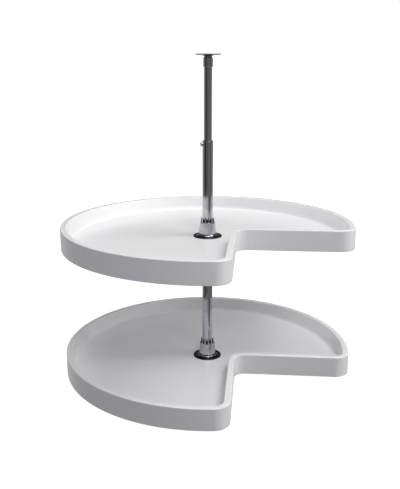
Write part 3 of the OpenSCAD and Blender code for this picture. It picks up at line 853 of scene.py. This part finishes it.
def tooth(low, high):
    """A tooth whose outer face leans in towards its top."""
    work = bmesh.new()
    rings = [[work.verts.new((x, y, z)) for x, y in tooth_plan(outer)]
             for outer, z in ((CROWN_OUT, low), (CROWN_OUT - CROWN_LEAN, high))]
    for ring in rings:
        work.faces.new(ring)
    for i, corner in enumerate(rings[0]):
        work.faces.new((corner, rings[0][i - 1], rings[1][i - 1], rings[1][i]))
    bmesh.ops.recalc_face_normals(work, faces=work.faces)
    mesh = bpy.data.meshes.new("tooth")
    work.to_mesh(mesh)
    work.free()
    made = link("tooth", mesh)
    bevel = made.modifiers.new("bevel", "BEVEL")
    bevel.width = TOOTH_BEVEL
    bevel.segments = 2
    bevel.angle_limit = TOOTH_BEVEL_ANGLE
    return evaluated(made, "tooth")


print("notches in each crown:", NOTCHES)

# %% [markdown]
# The body's wall bulges: its radius falls slowly above the foot and faster near the neck, by a
# power of the height. The foot is undercut, and a narrow sloping ledge lies under the crown.

# %% Two collars
COLLAR_FOOT_R = 0.02096
UNDERCUT = 0.0014
UNDERCUT_H = 0.0036
UNDERCUT_ROUND = 0.0007
COLLAR_ROUND = 0.0003
COLLAR_NECK_R = 0.01866
NECK_TAPER = 0.0002
STEM_R = 0.01606
SHOULDER_H = 0.0021
LEDGE_DROP = 0.0006
BULGE_POWER = 1.4
BULGE_START = 2
BULGE_STEPS = 12
for level in LEVELS:
    low, high = (corner.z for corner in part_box(f"{level}_lock_collar"))
    crown = high - CROWN_H
    neck = crown - SHOULDER_H
    bulge = [(COLLAR_FOOT_R - (COLLAR_FOOT_R - COLLAR_NECK_R) * (i / BULGE_STEPS) ** BULGE_POWER,
              low + (neck - low) * i / BULGE_STEPS, 0) for i in range(BULGE_START, BULGE_STEPS)]
    body = turned(f"{level}_collar_body", rounded([
        (STEM_R, low, 0), (COLLAR_FOOT_R - UNDERCUT, low, COLLAR_ROUND),
        (COLLAR_FOOT_R, low + UNDERCUT_H, UNDERCUT_ROUND), *bulge,
        (COLLAR_NECK_R, neck, COLLAR_ROUND),
        (COLLAR_NECK_R - NECK_TAPER, crown - 2 * LEDGE_DROP, COLLAR_ROUND),
        (CROWN_OUT, crown - LEDGE_DROP, 0), (CROWN_OUT, crown, 0), (CROWN_IN, crown, 0)]))
    block = tooth(crown - TOOTH_SUNK, high)
    collar = grown(f"{level}_chromed_collar", RING_TREE, {
        "Piece": block, "Body": body, "Count": NOTCHES,
        "Start angle": math.radians(-90) + math.pi / NOTCHES}, CAST)
    bpy.data.objects.remove(body)
    bpy.data.objects.remove(block)
    stands_for(collar, f"{level}_lock_collar", f"{level}_collar")

# %% [markdown]
# ## CAD pieces that stay
# The small and hidden pieces already have their right shape in CAD. Only their material slots
# are set here.

# %% Dress the CAD nodes
KEPT = {
    CHROME: ["floor_plate", "socket_grub_screw", "guide_bush", "lock_boss", "lock_screw"],
    NYLON: ["foot_bush", "upper_thrust_washer", "lower_thrust_washer"],
    BLACK: ["upper_ring_nut", "lower_ring_nut", "upper_collet", "lower_collet"],
}
for finish, names in KEPT.items():
    for name in names:
        piece = frame["nodes"][name]
        for slot in piece.material_slots:
            slot.link = "OBJECT"
            slot.material = finish
print("CAD nodes dressed:", sum(len(names) for names in KEPT.values()))

# %% [markdown]
# ## Stage and light
# The photograph is a studio picture on white. A floor and a wide dome round it are plain and
# nearly white. Both are seen by the camera alone, so that they put no light or reflection on
# the object, and the world and the lamps can be set for its sake.

# %% Floor and backdrop
FLOOR_SIZE = 30.0
DOME_R = 14.0


def stage_material(name, base, glow):
    """A plain pale surface with a little light of its own."""
    material = bpy.data.materials.new(name)
    material.use_nodes = True
    shader = material.node_tree.nodes["Principled BSDF"]
    shader.inputs["Base Color"].default_value = (base, base, base, 1)
    shader.inputs["Roughness"].default_value = 0.9
    shader.inputs["Specular IOR Level"].default_value = 0.0
    shader.inputs["Emission Color"].default_value = (1, 1, 1, 1)
    shader.inputs["Emission Strength"].default_value = glow
    return material


floor_mesh = bpy.data.meshes.new("floor")
reach = FLOOR_SIZE / 2
floor_mesh.from_pydata(
    [(-reach, -reach, 0), (reach, -reach, 0), (reach, reach, 0), (-reach, reach, 0)],
    [], [(0, 1, 2, 3)])
floor = link("floor", floor_mesh)
floor.data.materials.append(stage_material("pale_floor", base=0.3, glow=1.0))
dome_shape = bmesh.new()
bmesh.ops.create_uvsphere(dome_shape, u_segments=48, v_segments=24, radius=DOME_R)
dome_mesh = bpy.data.meshes.new("dome")
dome_shape.to_mesh(dome_mesh)
dome_shape.free()
dome = link("dome", dome_mesh)
dome.data.materials.append(stage_material("pale_dome", base=0.0, glow=1.05))
for prop in (floor, dome):
    prop.visible_diffuse = prop.visible_glossy = prop.visible_transmission = False
dome.visible_shadow = False
print("stage:", floor.name, dome.name)

# %% [markdown]
# A chromed tube shows its whole surroundings squeezed into a narrow strip. So the world is a
# ring of upright cards, as in a studio for shiny things: bright ones behind the object for
# the tube's edges, and dark ones in front for its core. A colour ramp read by the direction's
# turn gives the cards, and a plain dim room is above them.

# %% The world's light
ROOM = 0.125
CARDS_FADE = -0.02
CARDS_END = 0.14
# Each card's turn from the camera's side, in degrees towards the right, and its brightness
CARDS = {-180: 0.62, -140: 0.62, -100: 0.30, -75: 0.17, -55: 0.02, -42: 0.02, -26: 0.15,
         0: 0.12, 18: 0.17, 42: 0.23, 62: 0.11, 74: 0.12, 92: 0.36, 112: 0.10, 128: 0.10,
         148: 0.62, 180: 0.62}
world = bpy.data.worlds.new("studio")
bpy.context.scene.world = world
world.use_nodes = True
sky = world.node_tree
AXES = node(sky, "ShaderNodeSeparateXYZ", {
    0: node(sky, "ShaderNodeTexCoord").outputs["Generated"]}).outputs
TURN = maths(sky, "ARCTAN2", AXES["X"], maths(sky, "MULTIPLY", AXES["Y"], -1.0))
cards = node(sky, "ShaderNodeValToRGB", {0: ramp(sky, TURN, 0.0, 1.0, -math.pi, math.pi)})
stops = cards.color_ramp.elements
while len(stops) < len(CARDS):
    stops.new(0.5)
for stop, (turn, glow) in zip(stops, CARDS.items()):
    stop.position = turn / 360 + 0.5
    stop.color = (glow, glow, glow, 1)
# The cards start to fade just below the horizon and end a little above it
HEIGHT = ramp(sky, AXES["Z"], 0.0, 1.0, CARDS_FADE, CARDS_END)
light_mix = node(sky, "ShaderNodeMix", {
    0: HEIGHT, "A": cards.outputs["Color"], "B": (ROOM, ROOM, ROOM, 1)}, data_type="RGBA")
sky.links.new(light_mix.outputs["Result"], sky.nodes["Background"].inputs["Color"])
print("cards round the object:", len(CARDS))

# %% [markdown]
# Square area lights give the white trays their soft shading. The strongest ones stand overhead
# and at the right, and those at the left and behind only lift the shadows. Half of them are
# hidden from glossy surfaces, so that the chrome doesn't mirror them.

# %% Soft lights
OBJECT_MIDDLE = Vector((0, 0, 0.3))


def soft_light(name, place, size, watts, tint, mirrored=False):
    """A square area light that faces the object. mirrored shows it in glossy surfaces."""
    data = bpy.data.lights.new(name, "AREA")
    data.size = size
    data.energy = watts
    data.color = tint
    light = link(name, data)
    light.location = place
    light.rotation_mode = "QUATERNION"
    light.rotation_quaternion = (OBJECT_MIDDLE - Vector(place)).to_track_quat("-Z", "Y")
    light.visible_glossy = mirrored


WARM = (1.0, 0.985, 0.92)
PLAIN = (1.0, 0.99, 0.99)
COOL = (0.92, 0.92, 1.0)
soft_light("overhead", (0, 0, 3.0), 2.0, 22, PLAIN, mirrored=True)
soft_light("front_high", (0.1, -2.2, 2.2), 1.5, 15, COOL, mirrored=True)
soft_light("key", (0.85, -2.1, 2.2), 0.6, 13, COOL, mirrored=True)
soft_light("right_high", (1.5, -0.4, 2.6), 1.2, 25, WARM, mirrored=True)
soft_light("right", (3.0, 0, 1.1), 1.5, 30.5, PLAIN)
soft_light("left", (-3.0, 0, 1.1), 1.5, 8, PLAIN)
soft_light("back_left", (-2.0, 1.6, 2.0), 1.2, 8, COOL)
soft_light("back_low", (0.6, 2.8, 1.2), 1.5, 5, PLAIN)
print("lights:", len(bpy.data.lights))

# %% [markdown]
# ## Camera
# The camera stands a little to the right of the post, at about the height of its top, and
# looks slightly down. Its place was worked out from the ellipses of the trays.

# %% The photograph's view
CAMERA_PLACE = (0.1201, -1.58675, 0.7427)
CAMERA_WAY = (-0.0844, 0.9647, -0.2494)
SENSOR_MM = 36.0
LENS_MM = 48.84
camera_data = bpy.data.cameras.new("camera")
camera_data.sensor_width = SENSOR_MM
camera_data.lens = LENS_MM
camera = link("camera", camera_data)
camera.location = CAMERA_PLACE
camera.rotation_mode = "QUATERNION"
camera.rotation_quaternion = Vector(CAMERA_WAY).to_track_quat("-Z", "Y")
bpy.context.scene.camera = camera
bpy.context.scene.view_settings.view_transform = "Standard"
print("camera:", LENS_MM, "mm lens at", CAMERA_PLACE)
